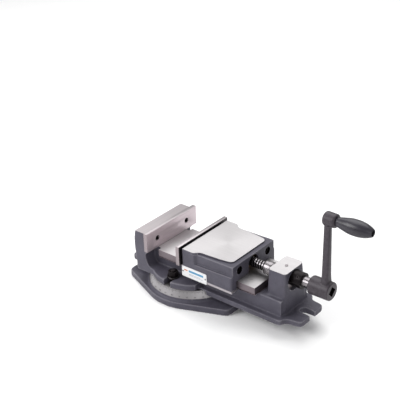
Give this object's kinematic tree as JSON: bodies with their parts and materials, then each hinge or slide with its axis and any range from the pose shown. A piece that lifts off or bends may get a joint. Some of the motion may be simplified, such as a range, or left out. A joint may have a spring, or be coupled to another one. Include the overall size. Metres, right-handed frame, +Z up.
{
  "type": "machine vise",
  "caption": "Milling machine vise on a round swivel base: fixed jaw, sliding jaw on rails, lead screw in a housing and a crank with a spinning grip.",
  "frame": {"origin": "on the swivel axis, on the underside of the base", "axes": "+X along the screw from the fixed jaw to the crank, +Z up, +Y to the left when looking along +X"},
  "size_m": [0.566, 0.211, 0.2788],
  "materials": {
    "base_cast": "grey enamel over sand-cast iron, machined bright on the graduated band",
    "body_cast": "grey enamel over sand-cast iron, ground bright on the rails and tops",
    "jaw_cast": "grey enamel over sand-cast iron, ground bright on top",
    "jaw_plate": "hardened steel, surface ground",
    "ground_strip": "surface ground steel",
    "bright_steel": "turned bright steel",
    "black_steel": "black oxide",
    "collar_steel": "black oxide, turned",
    "bronze": "turned bronze",
    "crank_steel": "dark enamel over a steel forging",
    "grip": "dark moulded grip, satin",
    "label": "blank printed plate, satin white",
    "rivets": "satin"
  },
  "bodies": {
    "base": {"swivel_base": "base_cast", "pivot_post": "bright_steel"},
    "turntable": {"vise_body": "body_cast", "fixed_jaw_plate": "jaw_plate", "fixed_plate_screw_near": "black_steel", "fixed_plate_screw_far": "black_steel", "t_bolt_near": "black_steel", "t_bolt_far": "black_steel", "clamp_washer_near": "bright_steel", "clamp_washer_far": "bright_steel", "screw_bushing": "bronze", "thrust_race_housing": "bright_steel", "oil_fitting": "bright_steel"},
    "near_nut": {"clamp_nut_near": "black_steel"},
    "far_nut": {"clamp_nut_far": "black_steel"},
    "jaw": {"moving_jaw": "jaw_cast", "moving_jaw_plate": "jaw_plate", "screw_nut": "bronze", "label_plate": "label", "label_rivet_front": "rivets", "label_rivet_rear": "rivets", "jaw_plate_bolt_near": "black_steel", "jaw_plate_bolt_far": "black_steel", "nut_screw_near": "black_steel", "nut_screw_far": "black_steel", "keeper_near": "ground_strip", "keeper_far": "ground_strip", "keeper_screw_near_1": "black_steel", "keeper_screw_near_2": "black_steel", "keeper_screw_near_3": "black_steel", "keeper_screw_far_1": "black_steel", "keeper_screw_far_2": "black_steel", "keeper_screw_far_3": "black_steel"},
    "screw": {"lead_screw": "bright_steel", "thrust_collar": "bright_steel", "thrust_race_collar": "bright_steel", "thrust_ball_ring": "bronze", "rear_collar": "collar_steel", "collar_set_screw": "black_steel"},
    "crank": {"crank_arm": "crank_steel", "grip_bolt": "bright_steel"},
    "grip": {"handle_grip": "grip"}
  },
  "joints": [
    {"name": "swivel", "type": "hinge", "parent": "base", "child": "turntable", "pos_m": [0, 0, 0.0365], "axis": [0, 0, 1], "continuous": true},
    {"name": "screw_turn", "type": "hinge", "parent": "turntable", "child": "screw", "pos_m": [0.236, 0, 0.109], "axis": [1, 0, 0], "range_deg": [-4680, 1440]},
    {"name": "jaw_slide", "type": "slide", "parent": "turntable", "child": "jaw", "axis": [1, 0, 0], "range_m": [-0.0785, 0.0245]},
    {"name": "crank_pull", "type": "slide", "parent": "screw", "child": "crank", "axis": [1, 0, 0], "range_m": [0, 0.05]},
    {"name": "grip_spin", "type": "hinge", "parent": "crank", "child": "grip", "pos_m": [0.385, 0, 0.263], "axis": [1, 0, 0], "continuous": true},
    {"name": "near_nut_turn", "type": "hinge", "parent": "turntable", "child": "near_nut", "pos_m": [0, -0.068, 0.06], "axis": [0, 0, 1], "continuous": true},
    {"name": "far_nut_turn", "type": "hinge", "parent": "turntable", "child": "far_nut", "pos_m": [0, 0.068, 0.06], "axis": [0, 0, 1], "continuous": true}
  ],
  "couplings": [
    {"joint": "jaw_slide", "follows": "screw_turn", "m_per_rad": 0.00095493}
  ]
}
